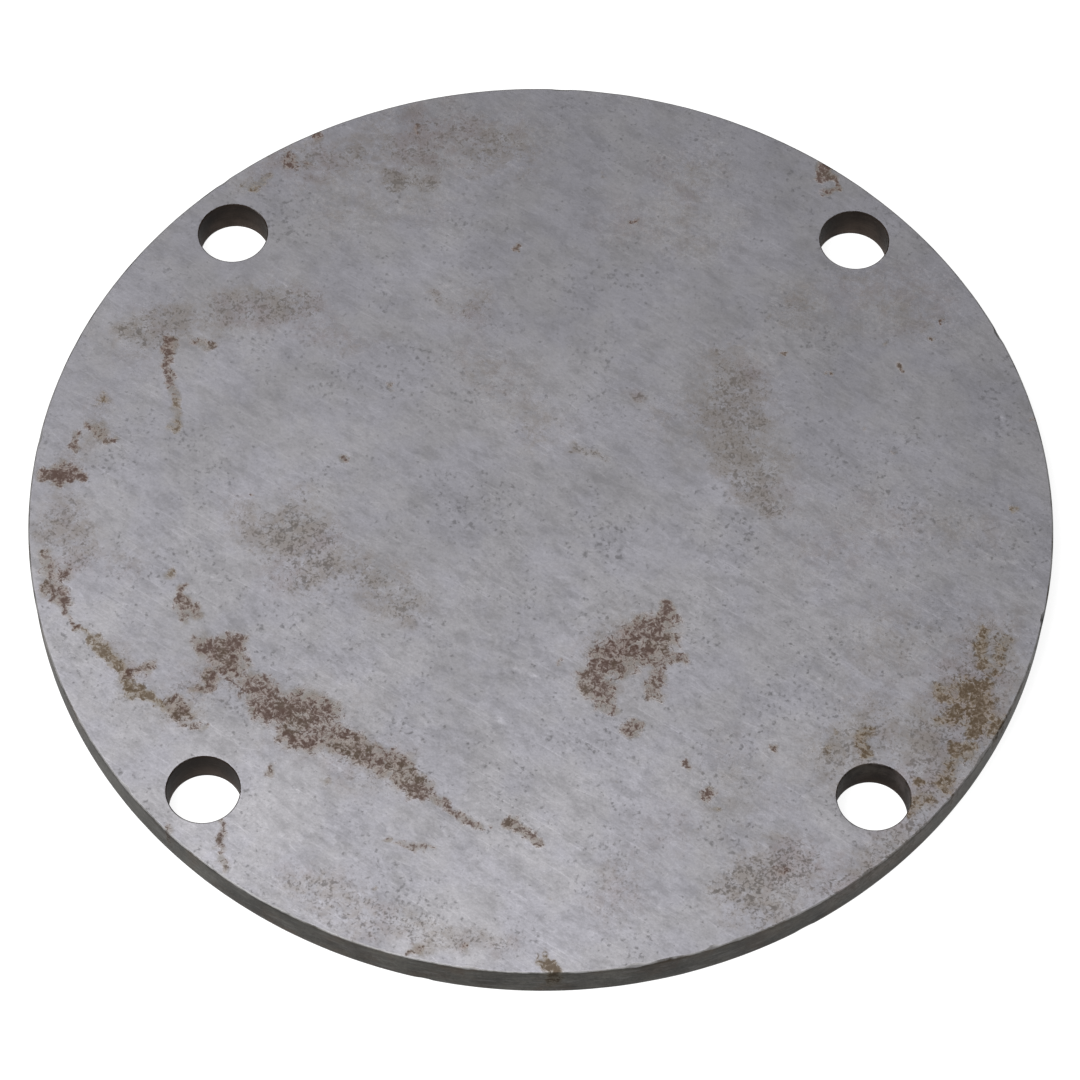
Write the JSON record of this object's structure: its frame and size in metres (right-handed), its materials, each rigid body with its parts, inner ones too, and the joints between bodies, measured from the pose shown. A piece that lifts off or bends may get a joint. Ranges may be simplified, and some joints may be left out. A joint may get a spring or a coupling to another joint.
{
  "type": "blind flange",
  "caption": "Flat round steel blanking plate with plain bolt holes near its rim, bolted over an open flanged pipe end or housing to close it.",
  "frame": {"origin": "centre of the sealing face, which is the underside that the plate stands on", "axes": "+Z along the plate's axis, from the sealing face to the outer face; +X and +Y halfway between neighbouring bolt holes"},
  "size_m": [0.202, 0.202, 0.008],
  "materials": {
    "bare_steel": "surface-ground bare mild steel, dulled, scratched, with brown rust blooms"
  },
  "bodies": {
    "root": {"flange_plate": "bare_steel"}
  },
  "joints": []
}
